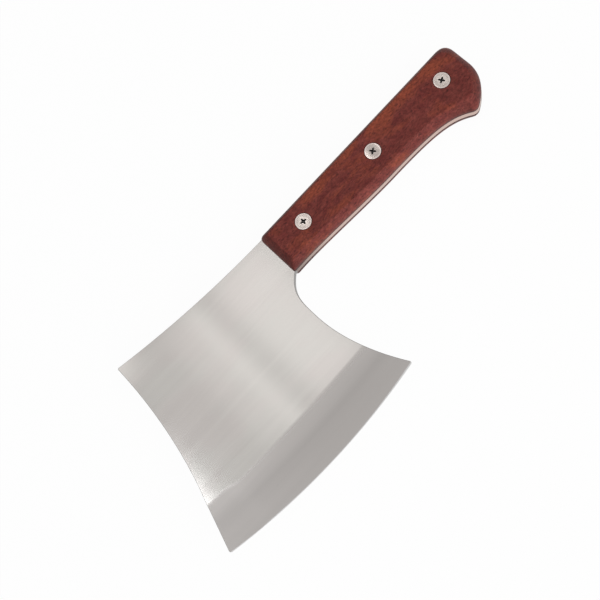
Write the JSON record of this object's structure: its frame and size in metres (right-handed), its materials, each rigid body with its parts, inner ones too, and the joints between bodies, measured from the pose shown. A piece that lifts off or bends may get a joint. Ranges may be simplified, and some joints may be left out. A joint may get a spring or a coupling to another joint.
{
  "type": "cleaver",
  "caption": "Full-tang chopping cleaver with a wide flared blade, ground bevel and curved edge, and wooden handle scales held by cross-head screws in sleeve nuts.",
  "frame": {"origin": "on the rear scale's flat outer face, midway between the two front handle bolts", "axes": "+X along the handle from the blade to the butt, +Y towards the spine with the cutting edge at -Y, +Z out of the front face where the screw heads are"},
  "size_m": [0.2606, 0.1145, 0.019],
  "materials": {
    "blade_steel": "satin brushed stainless steel, ground bevel a little darker",
    "handle_wood": "oiled reddish-brown hardwood with fine dark pores along the handle",
    "bolt_steel": "turned and polished steel heads"
  },
  "bodies": {
    "root": {"blade": "blade_steel", "front_scale": "handle_wood", "rear_scale": "handle_wood", "screw_blade_end": "bolt_steel", "screw_middle": "bolt_steel", "screw_butt_end": "bolt_steel", "sleeve_nut_blade_end": "bolt_steel", "sleeve_nut_middle": "bolt_steel", "sleeve_nut_butt_end": "bolt_steel"}
  },
  "joints": []
}
